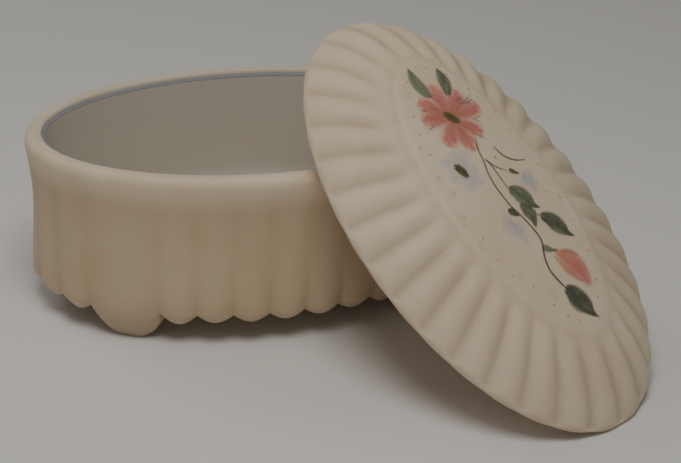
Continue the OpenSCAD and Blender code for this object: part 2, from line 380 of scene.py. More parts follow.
def skirt_row(share, further, up):
    """The skirt between its belly, share 0, and its lower edge, share 1."""
    drop = math.sqrt(share)
    return (1, (SHOULDER_IN * (1 - share) + further) * MM, (BELLY_Z * (1 - drop) + up * drop) * MM,
            GROOVE_DEEP * (1 - share) * MM, share, drop, 0)


def waist_row(u):
    """The outside wall: u is 0 at the shoulder over the scallops and 1 at the rim's band."""
    height = SHOULDER_Z + (DISH_H - BEAD_H - SHOULDER_Z) * u
    inset = SHOULDER_IN * (1 - u) + (WAIST - SHOULDER_IN / 2) * math.sin(math.pi * u ** WAIST_SKEW)
    return plain_row(inset, height, GROOVE_DEEP * math.exp((BELLY_Z - height) / FADE_H))


def dish_rows():
    floor_top = FLOOR_RISE + FLOOR_T
    floor_in = RIM_WALL + WALL_TAPER * (DISH_H - floor_top - FLOOR_FILLET)
    corner = floor_in + FLOOR_FILLET
    rows = [(share, corner * MM, floor_top * MM, 0, 0, 0, 1) for share in (0, 0.3, 0.6, 0.85)]
    for a in rising(10, 0, math.pi / 2):
        rows.append(plain_row(floor_in + FLOOR_FILLET * (1 - math.sin(a)),
                              floor_top + FLOOR_FILLET * (1 - math.cos(a)), inner=1))
    foot_of_step = plain_row(RIM_WALL, DISH_H - STEP_H, inner=1)
    rows += between(rows[-1], foot_of_step, 8) + [foot_of_step]
    lip = RIM_WALL - STEP_W
    for a in rising(4, 0, math.pi / 2):
        rows.append(plain_row(RIM_WALL - STEP_W * math.sin(a),
                              DISH_H - STEP_H + STEP_ROUND * (1 - math.cos(a)) + STEP_LIFT, inner=1))
    for a in rising(5, 0, math.pi / 2):
        rows.append(plain_row(lip - LIP_ROUND * (1 - math.cos(a)),
                              DISH_H - LIP_ROUND * (1 - math.sin(a)), inner=0.5))
    rows += between(rows[-1], plain_row(BEAD_R, DISH_H), 3)
    for a in rising(12, 0, math.pi / 2):
        rows.append(plain_row(BEAD_R * (1 - math.sin(a)), DISH_H - BEAD_R * (1 - math.cos(a))))
    rows.append(plain_row(0, DISH_H - BEAD_H + BAND_FOOT))
    rows += [waist_row(u) for u in reversed(rising(30))]
    rows += between(rows[-1], skirt_row(0, 0, 0), 4)
    for share in (0, 0.02, 0.06, 0.12, 0.2, 0.3, 0.42, 0.56, 0.7, 0.85):
        rows.append(skirt_row(share, -EDGE_FLARE * share, EDGE_ROUND * min(1, share / EDGE_GROW)))
    for a in rising(6, 0, math.pi / 2):
        rows.append(skirt_row(1, -EDGE_FLARE + (EDGE_ROUND + EDGE_FLARE) * (1 - math.cos(a)),
                              EDGE_ROUND * (1 - math.sin(a))))
    rows += between(rows[-1], skirt_row(1, SKIRT_T - EDGE_ROUND, 0), 3)
    for a in rising(4, 0, math.pi / 2):
        rows.append(skirt_row(1, SKIRT_T - EDGE_ROUND * (1 - math.sin(a)), EDGE_ROUND * (1 - math.cos(a))))
    recess = TUCK_IN + SKIRT_T + RECESS_IN
    rows += between(rows[-1], plain_row(recess, FLOOR_RISE - RECESS_DROP), 5)
    for a in rising(4, 0, math.pi / 2):
        rows.append(plain_row(recess + RECESS_ROUND * (1 - math.cos(a)),
                              FLOOR_RISE - RECESS_DROP * (1 - math.sin(a))))
    rows += [(share, (recess + RECESS_ROUND) * MM, FLOOR_RISE * MM, 0, 0, 0, 0) for share in (0.8, 0.4, 0)]
    return rows


print("rows of the dish:", len(dish_rows()))

# %% [markdown]
# ## The rule of the dish
#
# Each column knows its place counted in flutes. Its distance to the nearest foot tells whether it
# is on a foot, and a cosine gives the round of a scallop or of a foot. Those two numbers set how
# low the edge hangs and how far it tucks in.

# %% Tree of the dish
def dish_tree():
    graph, given = new_tree("dish_by_rule", ["Columns", "Flutes", "Half Length", "Half Width"])
    grid = Grid(graph, given)
    place = grid.place
    foot = FLUTES / 8 - 0.5
    offset = abs(place - foot)
    for centre in (FLUTES / 2 - foot, FLUTES / 2 + foot, FLUTES - foot):
        offset = offset.least(abs(place - centre))
    on_foot, beside = offset < 1.0, offset < 2.0
    foot_curve = (offset * (math.pi / 2)).cosine().most(0.0)
    scallop = on_foot * foot_curve + (1 - on_foot) * abs((place * math.pi).cosine())
    foot_edge = (NOTCH_Z * (1 - FOOT_OVER * foot_curve ** FOOT_ROUND)).most(0.0)
    plain_edge = NOTCH_Z - (SCALLOP_DROP + beside * SCALLOP_DIP) * scallop
    edge = on_foot * foot_edge + (1 - on_foot) * plain_edge
    tuck = TUCK_IN + TUCK_SLOPE * (NOTCH_Z - TUCK_DROP - edge) + TUCK_NOTCH * (1 - scallop)
    inset = grid.of_row("inset") + grid.of_row("groove") * (1 - scallop) + grid.of_row("tuck") * tuck * MM
    height = grid.of_row("height") + grid.of_row("drop") * edge * MM
    cosine, sine = grid.round_oval(given["Half Length"], given["Half Width"])
    opened = grid.of_row("open")
    x = opened * (given["Half Length"] - inset) * cosine
    y = opened * (given["Half Width"] - inset) * sine
    close_shell(graph, grid, given, x, y, height, {"inner": grid.of_row("inner"), "crest": scallop})
    return graph.tree


glass_dish = bpy.data.materials.new("satin_glass_dish")
dish = run_tree(profile_object("dish_rows", DISH_KEYS, dish_rows()), dish_tree(),
                {"Columns": FLUTES * PER_FLUTE, "Flutes": FLUTES,
                 "Half Length": RIM[0] * MM, "Half Width": RIM[1] * MM}, glass_dish, "pressed_dish")
print("dish has", len(dish.data.polygons), "faces, box", [round(v * 1000, 2) for v in dish.dimensions])

# %% [markdown]
# ## The lid
#
# The lid's rows start in the middle of its raised panel, cross the fluted slope, turn under at the
# edge and end in the hollow underneath. Every point of the slope lies on a straight line between
# the panel's oval and the edge's oval, so the flutes fan out evenly. It is made lying flat, because
# the flowers are painted on it that way, and it is leant on the dish at the end.

# %% Rows of the lid
LID_KEYS = ("panel", "edge", "inset", "notch", "height", "groove", "slope")
NOTCH_START = 0.9  # place on the slope where the notches of the edge begin
CLOSE_START, CLOSE_POWER = 0.97, 20  # where the grooves run out, and how late they close
STEP_ON_PANEL, STEP_ON_SLOPE = 0.12, 0.14  # lengths of the step's curve, as shares of each
HOLLOW_MID = 0.6  # share of the panel at which the hollow's roof has its middle row


def crest_height(u):
    """Height of the crest line from the panel's border, u = 0, to the edge, u = 1."""
    return EDGE_R + (LID_RISE - PANEL_STEP - EDGE_R) * (1 - min(1, u) ** CREST_TOP) ** CREST_EDGE


def groove_depth(u):
    """The grooves open out from the panel and close again just before the edge."""
    opening = (1 - math.cos(math.pi * min(1, u / GROOVE_FULL))) / 2
    closing = (1 - GROOVE_CLOSE * min(u, CLOSE_START) ** CLOSE_POWER) * min(1, (1 - u) / (1 - CLOSE_START))
    return FLUTE_DEEP * opening * closing


def step_down(t):
    """The soft step from the panel, t = 0, to the flutes, t = 1."""
    return PANEL_STEP * (1 - math.cos(math.pi * max(0, min(1, t)))) / 2


def panel_row(share, height):
    return (share, 0, 0, 0, height * MM, 0, 0)


def slope_row(u):
    height = crest_height(u) + PANEL_STEP - step_down(0.5 + u / STEP_ON_SLOPE)
    notch = EDGE_NOTCH * max(0, (u - NOTCH_START) / (1 - NOTCH_START))
    return (1 - u, u, 0, notch * MM, height * MM, groove_depth(u) * MM, u)


def edge_row(inset, height, notch=0.0):
    return (0, 1, inset * MM, notch * MM, height * MM, 0, 1)


def lid_rows():
    rows = []
    for share in rising(8, 0, 0.78) + [0.78, 0.84, 0.88, 0.91, 0.935, 0.95, 0.965, 0.98, 0.99]:
        height = LID_RISE + CROWN * (1 - share * share) - step_down(0.5 + (share - 1) / STEP_ON_PANEL)
        rows.append(panel_row(share, height))
    rows += [slope_row(u) for u in (0, 0.012, 0.024, 0.036, 0.048)]
    rows += [slope_row(u) for u in rising(24, 0.06, 0.88)]
    rows += [slope_row(u) for u in (0.91, 0.935, 0.955, 0.97, 0.98, 0.988, 0.994)]
    for a in rising(8, 0, math.pi / 2):
        inset, height = EDGE_R * (1 - math.cos(a)), EDGE_R * (1 - math.sin(a))
        rows.append(edge_row(inset, height, EDGE_NOTCH * math.cos(a)))
    root = edge_row(FLANGE_IN - FLANGE_ROOT, 0)
    rows += between(rows[-1], root, 4)
    rows += [root, edge_row(FLANGE_IN - 0.3 * FLANGE_ROOT, -0.3 * FLANGE_ROOT),
             edge_row(FLANGE_IN, -FLANGE_ROOT)]
    rows += between(rows[-1], edge_row(FLANGE_IN, FLANGE_R - FLANGE_H), 3)
    for a in rising(10, 0, math.pi):
        inset, height = FLANGE_R * (1 - math.cos(a)), FLANGE_R * (1 - math.sin(a))
        rows.append(edge_row(FLANGE_IN + inset, height - FLANGE_H))
    hollow = FLANGE_IN + 2 * FLANGE_R
    roof = [edge_row(hollow, crest_height(0.55) - LID_WALL - 2.5),
            edge_row(hollow + 1.2, crest_height(0.5) - LID_WALL - 0.6),
            edge_row(hollow + 3.5, crest_height(0.4) - LID_WALL),
            panel_row(1, LID_RISE - PANEL_STEP - LID_WALL),
            panel_row(HOLLOW_MID, LID_RISE + CROWN * (1 - HOLLOW_MID ** 2) - LID_WALL),
            panel_row(0, LID_RISE + CROWN - LID_WALL)]
    for first, last in zip([rows[-1]] + roof, roof):
        rows += between(first, last, 4) + [last]
    return rows


print("rows of the lid:", len(lid_rows()))

# %% Tree of the lid
FLUTE_SOFT = 0.2  # how soft the bottom of a groove is: 0 would be a sharp crease


def lid_tree():
    graph, given = new_tree("lid_by_rule", ["Columns", "Flutes", "Half Length", "Half Width",
                                            "Edge Length", "Edge Width", "Panel Length", "Panel Width"])
    grid = Grid(graph, given)
    wave = (grid.place * math.pi).sine()
    rounded = (wave * wave + FLUTE_SOFT * FLUTE_SOFT).root() - FLUTE_SOFT
    flute = rounded / (math.hypot(1, FLUTE_SOFT) - FLUTE_SOFT)
    height = grid.of_row("height") - grid.of_row("groove") * (1 - flute)
    cosine, sine = grid.round_oval(given["Half Length"], given["Half Width"])
    panel_cosine, panel_sine = grid.round_oval(given["Panel Length"], given["Panel Width"])
    panel, edge = grid.of_row("panel"), grid.of_row("edge")
    inset = grid.of_row("inset") + grid.of_row("notch") * (1 - flute)
    x = panel * given["Panel Length"] * panel_cosine + edge * (given["Edge Length"] - inset) * cosine
    y = panel * given["Panel Width"] * panel_sine + edge * (given["Edge Width"] - inset) * sine
    close_shell(graph, grid, given, x, y, height, {"crest": flute, "slope": grid.of_row("slope")})
    return graph.tree


glass_lid = bpy.data.materials.new("satin_glass_lid")
lid = run_tree(profile_object("lid_rows", LID_KEYS, lid_rows()), lid_tree(),
               {"Columns": FLUTES * PER_FLUTE, "Flutes": FLUTES,
                "Half Length": RIM[0] * MM, "Half Width": RIM[1] * MM,
                "Edge Length": LID[0] * MM, "Edge Width": LID[1] * MM,
                "Panel Length": PANEL[0] * MM, "Panel Width": PANEL[1] * MM}, glass_lid, "pressed_lid")
print("lid has", len(lid.data.polygons), "faces, box", [round(v * 1000, 2) for v in lid.dimensions])

# %% [markdown]
# ## Satin glass
#
# Opaque pressed glass dipped in acid has a skin like eggshell: no mirror shine, a broad soft
# highlight, and a little light that goes in and comes out again. The colour is a warm cream, with
# painted shade laid on it: tan down in the lid's grooves, at its panel's step and on the dish's wall
# below the rim, grey near the table, rose on the lid's turned edge, cool grey inside the dish and a
# blue-grey line at the step inside the rim.
# A Principled shader does all of it, with noise for the small differences that pressed glass has.

# %% Satin glass finish
def colour(red, green, blue):
    """A colour as a screen shows it, turned into the plain light values that shaders use."""
    parts = [part / 255 for part in (red, green, blue)]
    return (*[p / 12.92 if p <= 0.04045 else ((p + 0.055) / 1.055) ** 2.4 for p in parts], 1.0)


def start_finish(material):
    """Empties a material. Returns its graph, its Principled shader and object coordinates."""
    material.use_nodes = True
    material.node_tree.nodes.clear()
    graph = Graph(material.node_tree)
    shader = graph.node("ShaderNodeBsdfPrincipled")
    graph.node("ShaderNodeOutputMaterial", {}, [shader])
    return graph, shader, graph.node("ShaderNodeTexCoord")["Object"]


def feed(shader, **given):
    """Links or sets the shader's sockets, named with _ for a space."""
    for name, value in given.items():
        socket = shader.socket.node.inputs[name.replace("_", " ")]
        if isinstance(value, Value):
            shader.graph.tree.links.new(value.socket, socket)
        else:
            socket.default_value = value


def noise(graph, where, scale, detail=2.0, rough=0.5):
    """Cloudy noise from 0 to 1. Its scale counts clouds in a metre."""
    return graph.node("ShaderNodeTexNoise", {}, {
        "Vector": where, "Scale": scale, "Detail": detail, "Roughness": rough})["Fac"]


def carried(graph, key):
    """A number that the mesh carries at each point."""
    return graph.node("ShaderNodeAttribute", {"attribute_name": key})["Fac"]


CREAM = colour(224, 205, 175)
IVORY = colour(231, 215, 188)
STRAW = colour(220, 196, 144)
# painted shade in the lid's grooves and at the step below its panel
GROOVE_SHADE_TAN = colour(188, 165, 136)
# painted shade on the dish's outside wall below the rim
WALL_SHADE_TAN = colour(192, 163, 124)
# painted shade on the dish's outside near the table
FOOT_SHADE_GREY = colour(164, 150, 134)
# painted shade where the lid's edge turns under, and on its underside
EDGE_SHADE_ROSE = colour(196, 170, 150)
# painted shade inside the dish, cooler than the outside
INSIDE_SHADE_GREY = colour(203, 199, 189)
# painted shade line at the step inside the dish's rim
RIM_STEP_SHADE_BLUE = colour(112, 124, 144)
CLOUDS, FLECKS, GRAIN = 45.0, 420.0, 2600.0  # how many of each lie along a metre
FOOT_SHADE_H = 0.014  # height in metres up to which painted shade greys the outside
WALL_SHADE = (9.0, 3.0)  # millimetres below the rim's top: the painted shade on the wall fades out between them
RIM_SHADE_LINE = (2.0, 1.5, 1.2, 0.8)  # the same, for the painted blue-grey shade line at the step inside the rim: starts, full, still full, ends


def satin_glass(material, inside):
    graph, shader, where = start_finish(material)
    clouds = noise(graph, where, CLOUDS, 3.0)
    flecks = noise(graph, where, FLECKS, 3.0, 0.6)
    grain = noise(graph, where, GRAIN, 2.0)
    crest = carried(graph, "crest")
    body = graph.blend(clouds.ramp(0.35, 0.65), CREAM, IVORY)
    body = graph.blend(flecks.ramp(0.56, 0.78) * 0.3, body, STRAW)
    if inside:
        inner = carried(graph, "inner")
        height = graph.node("ShaderNodeSeparateXYZ", {}, [where])["Z"]
        # Painted shade: tan on the outside wall below the rim's band, a little more in the grooves between
        # the scallops.
        fade_low, fade_high = [(DISH_H - down) * MM for down in WALL_SHADE]
        wall = (1 - inner) * (1 - height.ramp(fade_low, fade_high))
        body = graph.blend(wall * (0.5 + 0.12 * (1 - crest)), body, WALL_SHADE_TAN)
        # Painted shade: the outside greys towards the table.
        body = graph.blend((1 - inner) * (1 - height.ramp(0.0, FOOT_SHADE_H)) * 0.5, body, FOOT_SHADE_GREY)
        # Painted shade: the inside of the dish is tinted a cool grey.
        body = graph.blend(inner * 0.85, body, INSIDE_SHADE_GREY)
        # Painted shade: a thin blue-grey line at the step inside the rim.
        start, full, until, end = [(DISH_H - down) * MM for down in RIM_SHADE_LINE]
        line = height.ramp(start, full) * (1 - height.ramp(until, end))
        body = graph.blend(line * inner * 0.65, body, RIM_STEP_SHADE_BLUE)
    else:
        slope = carried(graph, "slope")
        # Painted shade: tan down in the lid's grooves and along the step below its panel.
        groove = (1 - crest) * (1 - crest) * slope.ramp(0.1, 0.5) * (1 - slope.ramp(0.93, 1.0))
        border = slope.ramp(0.0, 0.05) * (1 - slope.ramp(0.05, 0.2))
        body = graph.blend(groove * 0.5 + border * 0.14, body, GROOVE_SHADE_TAN)
        # Painted shade: rose tan from the last of the slope round the edge and over the lid's underside.
        body = graph.blend(slope.ramp(0.95, 1.0) * 0.5, body, EDGE_SHADE_ROSE)
    bump = graph.node("ShaderNodeBump", {}, {
        "Strength": 0.35, "Distance": 0.00006, "Height": grain + flecks * 0.6})
    waves = graph.node("ShaderNodeBump", {}, {
        "Strength": 0.5, "Distance": 0.0006, "Height": clouds, "Normal": bump})
    feed(shader, Base_Color=body, Roughness=0.5 + 0.14 * flecks + 0.06 * grain, Normal=waves,
         Subsurface_Weight=0.3, Subsurface_Radius=(1.0, 0.8, 0.6), Subsurface_Scale=0.004, IOR=1.45)


satin_glass(glass_dish, inside=True)
satin_glass(glass_lid, inside=False)
print("glass nodes:", len(glass_dish.node_tree.nodes), "and", len(glass_lid.node_tree.nodes))

# %% [markdown]
# ## The painted spray
#
# The flowers are enamel, painted by hand and fired on, so every mark is one stroke of a brush: it
# has a path, a width that swells and thins, and a slight thickness. A Geometry Nodes tree makes
# the strokes: it smooths each path, sweeps a lens along it and drops it on the glass with a ray,
# so that the paint follows the crowned panel. The paths are in millimetres on the flat lid.

# %% Tree of a brush stroke
RAY_START, RAY_LENGTH = 0.03, 0.1  # metres above the flat lid, and downwards from there
LENS_RADIUS = 0.0001  # only a start: every point is moved to its own place afterwards


def stroke_tree():
    graph, given = new_tree("brush_stroke", ["Points Along", "Points Round", "Thickness", "Sunk"])
    graph.tree.interface.new_socket("Surface", in_out="INPUT", socket_type="NodeSocketObject")
    path = graph.node("GeometryNodeMeshToCurve", {}, {"Mesh": given["Geometry"]})
    path = graph.node("GeometryNodeCurveSplineType", {"spline_type": "CATMULL_ROM"}, {"Curve": path})
    path = graph.node("GeometryNodeResampleCurve", {}, {"Curve": path, "Count": given["Points Along"]})
    spine = graph.node("GeometryNodeInputPosition")
    tangent = graph.node("GeometryNodeInputTangent")
    side = graph.node("ShaderNodeVectorMath", {"operation": "CROSS_PRODUCT"}, [(0.0, 0.0, 1.0), tangent])
    along = graph.node("GeometryNodeSplineParameter")["Factor"]
    path = keep(graph, path, "FLOAT", "along", along)
    path = keep(graph, path, "FLOAT_VECTOR", "spine", spine)
    path = keep(graph, path, "FLOAT_VECTOR", "side", side)
    round_points = given["Points Round"]
    lens = graph.node("GeometryNodeCurvePrimitiveCircle", {"mode": "RADIUS"},
                      {"Resolution": round_points, "Radius": LENS_RADIUS})
    angle = graph.node("GeometryNodeInputIndex") / round_points * (2 * math.pi)
    lens = keep(graph, lens, "FLOAT", "across", angle.cosine())
    lens = keep(graph, lens, "FLOAT", "up", angle.sine())
    tube = graph.node("GeometryNodeCurveToMesh", {}, {
        "Curve": path, "Profile Curve": lens, "Fill Caps": True})
    across, up, half = field(graph, "across"), field(graph, "up"), field(graph, "half")
    reach = graph.node("ShaderNodeVectorMath", {"operation": "SCALE"},
                       {"Vector": field(graph, "side", "FLOAT_VECTOR"), "Scale": across * half})
    flat = graph.node("ShaderNodeVectorMath", {"operation": "ADD"},
                      [field(graph, "spine", "FLOAT_VECTOR"), reach])
    flat = graph.node("ShaderNodeSeparateXYZ", {}, [flat])
    above = graph.node("ShaderNodeCombineXYZ", {}, [flat["X"], flat["Y"], RAY_START])
    glass = graph.node("GeometryNodeObjectInfo", {}, {"Object": given["Surface"]})["Geometry"]
    ray = graph.node("GeometryNodeRaycast", {}, {
        "Target Geometry": glass, "Source Position": above, "Ray Direction": (0.0, 0.0, -1.0),
        "Ray Length": RAY_LENGTH})
    landed = graph.node("ShaderNodeSeparateXYZ", {}, [ray["Hit Position"]])["Z"]
    proud = given["Thickness"] + field(graph, "lift")
    height = landed + up.most(0.0) * proud + up.least(0.0) * given["Sunk"]
    place = graph.node("ShaderNodeCombineXYZ", {}, [flat["X"], flat["Y"], height])
    tube = graph.node("GeometryNodeSetPosition", {}, {"Geometry": tube, "Position": place})
    for name in ("spine", "side"):
        tube = graph.node("GeometryNodeRemoveAttribute", {}, {"Geometry": tube, "Name": name})
    tube = graph.node("GeometryNodeSetShadeSmooth", {}, {"Geometry": tube})
    end_tree(graph, tube, given)
    return graph.tree


def keep(graph, geometry, kind, name, value):
    """Stores a number or a vector on each point of a curve."""
    return graph.node("GeometryNodeStoreNamedAttribute", {"data_type": kind, "domain": "POINT"},
                      {"Geometry": geometry, "Name": name, "Value": value})


def field(graph, name, kind="FLOAT"):
    return graph.node("GeometryNodeInputNamedAttribute", {"data_type": kind}, {"Name": name})["Attribute"]


STROKE_TREE = stroke_tree()
print("nodes in the stroke tree:", len(STROKE_TREE.nodes))

# %% [markdown]
# ## Strokes as lists
#
# A stroke is a list of points, each with its place on the lid and half the brush's width there.
# `swell` gives most strokes their width: thin at both ends and widest at a chosen place. The dots
# and the slight wander of a hand come from a seeded random, so that each run paints the same.

# %% Helpers for strokes
hand = random.Random(7)
SUNK = 0.04  # how far a stroke's underside goes into the glass, so that no gap shows


def swell(path, half, widest=0.5, tip=0.12, start=0.12, taper=1.0):
    """Gives a path of points a brush width that swells to half at the widest place.
    A taper above 1 draws the far end out to a slim point, as on a leaf."""
    stroke = []
    for i, (x, y) in enumerate(path):
        t = i / (len(path) - 1)
        if t < widest:
            share = start + (1 - start) * math.sin(math.pi / 2 * t / widest)
        else:
            share = tip + (1 - tip) * math.cos(math.pi / 2 * (t - widest) / (1 - widest)) ** taper
        stroke.append((x, y, half * share))
    return stroke


def lengthen(path, count):
    """More points along straight stretches of a path."""
    points = []
    for (x0, y0), (x1, y1) in zip(path, path[1:]):
        points += [(x0 + (x1 - x0) * i / count, y0 + (y1 - y0) * i / count) for i in range(count)]
    return points + [path[-1]]


def paint(name, strokes, finish, lift, thickness=0.05, along=18, around=12):
    """Lays strokes on the lid as one mesh of thin closed lenses. Sizes are in millimetres."""
    points, edges, halves, tones = [], [], [], []
    for stroke in strokes:
        tone = hand.random()
        edges += [(len(points) + i, len(points) + i + 1) for i in range(len(stroke) - 1)]
        for x, y, half in stroke:
            points.append((x * MM, y * MM, 0))
            halves.append(half * MM)
            tones.append(tone)
    mesh = bpy.data.meshes.new(name + "_paths")
    mesh.from_pydata(points, edges, [])
    for key, values in (("half", halves), ("tone", tones), ("lift", [lift * MM] * len(points))):
        mesh.attributes.new(key, "FLOAT", "POINT").data.foreach_set("value", values)
    paths = bpy.data.objects.new(name + "_paths", mesh)
    bpy.context.scene.collection.objects.link(paths)
    made = run_tree(paths, STROKE_TREE, {
        "Points Along": along, "Points Round": around, "Thickness": thickness * MM, "Sunk": SUNK * MM,
        "Surface": lid}, finish, name)
    print(name, "has", len(strokes), "strokes and", len(made.data.polygons), "faces")
    return made


print("a stroke's widths:", [round(p[2], 2) for p in swell([(0, 0), (1, 0), (2, 0)], 1.0)])

# %% [markdown]
# ## The flowers and leaves
#
# The spray has an open pink blossom, leaves, a curling stem that ends in a bud and a last leaf,
# three pale blue sprigs, and straw coloured dots dabbed round the border. A petal is one wide pale
# wash under three strokes side by side, pulled out from the middle, so that its end comes out ragged.

# %% Paths of the blossom
BLOSSOM = (-20.6, -0.4)
PETALS = [(175, 10.0), (134, 9.7), (98, 10.4), (45, 8.2), (0, 9.3), (-44, 8.6), (-105, 8.3), (-141, 8.9)]


def wash(turn, reach):
    """One wide wet stroke, from near the middle of the blossom outwards."""
    angle = math.radians(turn)
    path = [(BLOSSOM[0] + away * math.cos(angle), BLOSSOM[1] + away * math.sin(angle))
            for away in (0.4, 0.3 * reach, 0.6 * reach, 0.85 * reach, 1.05 * reach)]
    return swell(path, 3.8, widest=0.6, tip=0.45, start=0.25)


def petal(turn, reach):
    """Three strokes side by side from near the middle of the blossom outwards."""
    strokes = []
    for side, share in ((-1, 0.9), (1, 0.86), (0, 1.0)):
        path = []
        for t in (0.12, 0.35, 0.62, 0.85, 1.0):
            angle = math.radians(turn + side * (13 - 3 * t) + hand.uniform(-2, 2))
            away = reach * share * t + hand.uniform(-0.15, 0.15)
            path.append((BLOSSOM[0] + away * math.cos(angle), BLOSSOM[1] + away * math.sin(angle)))
        strokes.append(swell(path, 1.15, widest=0.62, tip=0.2, start=0.3))
    return strokes


petal_strokes = [stroke for turn, reach in PETALS for stroke in petal(turn, reach)]
washes = [wash(turn, reach) for turn, reach in PETALS]
BUD = [
    swell([(17.9, 2.8), (19.2, 5.2), (21.4, 7.0), (24.2, 7.4), (27.2, 7.0)], 1.7, 0.5),
    swell([(18.0, 2.0), (20.0, 3.6), (22.6, 4.8), (25.2, 5.6), (28.0, 6.2)], 2.1, 0.55),
    swell([(18.2, 1.2), (20.2, 1.6), (22.6, 2.2), (25.0, 3.4), (27.2, 5.0)], 1.6, 0.5),
    swell([(18.2, 3.4), (18.6, 5.2), (19.6, 7.0), (21.0, 8.4)], 1.1, 0.6, tip=0.4),
]
washes.append(swell([(17.2, 1.9), (19.6, 3.9), (22.4, 5.0), (25.2, 5.6), (28.6, 6.0)], 4.4, 0.5, tip=0.3))
print("petal strokes:", len(petal_strokes), "bud strokes:", len(BUD), "washes:", len(washes))

# %% Paths of the leaves and stems
LEAVES = [
    swell([(-36.4, -2.2), (-34.8, -2.5), (-33.2, -2.7), (-31.2, -2.7), (-29.4, -2.5), (-27.4, -2.0)],
          2.2, 0.66, tip=0.4),
    swell([(-34.2, 5.5), (-33.0, 5.5), (-31.6, 5.3), (-30.0, 4.9), (-28.4, 4.2), (-26.3, 3.1)],
          2.2, 0.6, tip=0.35),
] + [swell(path, half, 0.4, tip=0.04, start=0.3, taper=1.5) for path, half in (
    ([(0.2, 1.0), (1.4, 2.6), (2.9, 3.7), (4.6, 4.5), (5.9, 5.2), (7.2, 6.5)], 3.1),
    ([(4.3, 1.5), (6.0, 2.3), (7.6, 2.5), (9.4, 2.2), (11.2, 1.4)], 2.3),
    ([(8.8, 4.6), (10.2, 6.6), (11.8, 7.8), (13.6, 8.7), (15.0, 9.4), (16.4, 10.9)], 3.2),
    ([(26.0, -1.6), (27.8, -0.5), (29.9, 0.2), (32.0, 0.9), (33.7, 1.4), (35.4, 2.4)], 3.7),
    ([(4.4, -2.6), (5.2, -2.1), (6.2, -1.4), (7.1, -0.7)], 1.3),
    ([(15.4, -0.4), (16.2, 0.4), (17.0, 1.5), (17.8, 2.9)], 1.2),
    ([(-4.3, 5.0), (-3.7, 5.6), (-2.9, 6.5), (-2.3, 7.5)], 0.9),
)]
MAIN_STEM = [(-15.4, 2.4), (-13.6, 1.7), (-11.0, 0.5), (-8.0, -0.2), (-5.1, -1.2), (-1.7, -1.7), (1.1, -1.6),
             (4.1, -1.3), (6.1, -0.6), (8.7, 0.1), (11.4, 0.6), (13.5, 0.7), (15.2, 0.2), (16.8, -0.9),
             (18.7, -1.8), (21.1, -2.4), (23.6, -2.1), (26.3, -1.3), (28.6, -0.2)]
STEMS = [
    [(x, y, 0.22 + 0.16 * i / len(MAIN_STEM)) for i, (x, y) in enumerate(MAIN_STEM)],
    swell([(-8.9, 0.5), (-6.7, 1.1), (-3.9, 1.2), (-1.7, 1.2), (0.6, 1.4)], 0.22, 0.3, 0.6, 0.6),
    swell([(-8.9, 0.5), (-7.0, 1.4), (-5.5, 2.5), (-4.0, 4.6)], 0.2, 0.4, 0.4, 0.6),
    swell([(-11.2, 5.4), (-8.9, 5.9), (-7.4, 6.7), (-6.2, 8.1), (-5.4, 10.0), (-5.1, 12.3)],
          0.3, 0.4, 0.5, 0.5),
    swell([(6.9, 4.6), (8.1, 4.2), (9.3, 5.2)], 0.16, 0.5, 0.5, 0.5),
    swell([(-15.0, 3.4), (-14.0, 4.1), (-13.0, 4.8)], 0.1, 0.5, 0.3, 0.3),
    swell([(-36.9, -2.0), (-35.0, -2.5), (-33.0, -2.7)], 0.14, 0.5, 0.6, 0.3),
    swell([(-34.9, 5.6), (-33.6, 5.5), (-32.0, 5.3)], 0.14, 0.5, 0.6, 0.3),
    swell([(5.7, 5.0), (6.5, 5.7), (7.1, 6.7)], 0.16, 0.4, 0.4, 0.4),
    swell([(14.8, 9.3), (15.7, 10.0), (16.4, 11.0)], 0.17, 0.6, 0.6, 0.4),
    swell([(33.9, 1.5), (34.8, 2.1), (35.6, 2.7)], 0.2, 0.6, 0.6, 0.4),
]
SEPALS = [
    [(-23.5, 5.7), (-24.3, 7.8), (-25.1, 10.0)], [(-23.4, 5.9), (-23.4, 7.6), (-23.8, 9.3)],
    [(-19.1, 5.1), (-18.3, 6.0), (-17.4, 6.9)], [(-19.0, 5.2), (-18.9, 6.8), (-19.3, 8.6)],
    [(-25.5, -6.8), (-24.9, -6.2), (-24.3, -5.6)], [(-20.1, -8.7), (-20.2, -7.4), (-20.6, -6.1)],
]
STEMS += [swell(path, 0.11, 0.3, 0.4, 0.4) for path in SEPALS]
print("leaves:", len(LEAVES), "stems and sepals:", len(STEMS))

# %% Paths of the centres, sprigs and dots
CENTRES = []


def tuft(start, end, count, half):
    """A dark middle: short strokes laid side by side over a broad one, all from start to end."""
    (x0, y0), (x1, y1) = start, end
    strokes = [swell(lengthen([start, end], 4), half, 0.5, 0.4, 0.4)]
    for i in range(count):
        aside = half * (2 * i / (count - 1) - 1) * 0.7
        early, late = hand.uniform(0, 0.25), hand.uniform(0.75, 1)
        path = [(x0 + (x1 - x0) * t - 0.5 * aside, y0 + (y1 - y0) * t + aside) for t in (early, 0.5, late)]
        strokes.append(swell(path, half * 0.5, 0.5, 0.3, 0.4))
    return strokes


CENTRES += tuft((-23.0, -1.5), (-18.9, 0.9), 4, 1.1)
CENTRES += tuft((-10.2, -8.4), (-5.9, -6.6), 4, 1.0)
CENTRES.append(swell([(17.2, 2.3), (17.5, 2.7), (17.8, 3.1)], 0.36, 0.5, 0.4, 0.4))


def sprig(centre, tips, half):
    """Pale petals pulled out from a centre."""
    return [swell([(centre[0] + (x - centre[0]) * t, centre[1] + (y - centre[1]) * t)
                   for t in (0.0, 0.4, 0.75, 1.1)], half, 0.65, 0.6, 0.4) for x, y in tips]


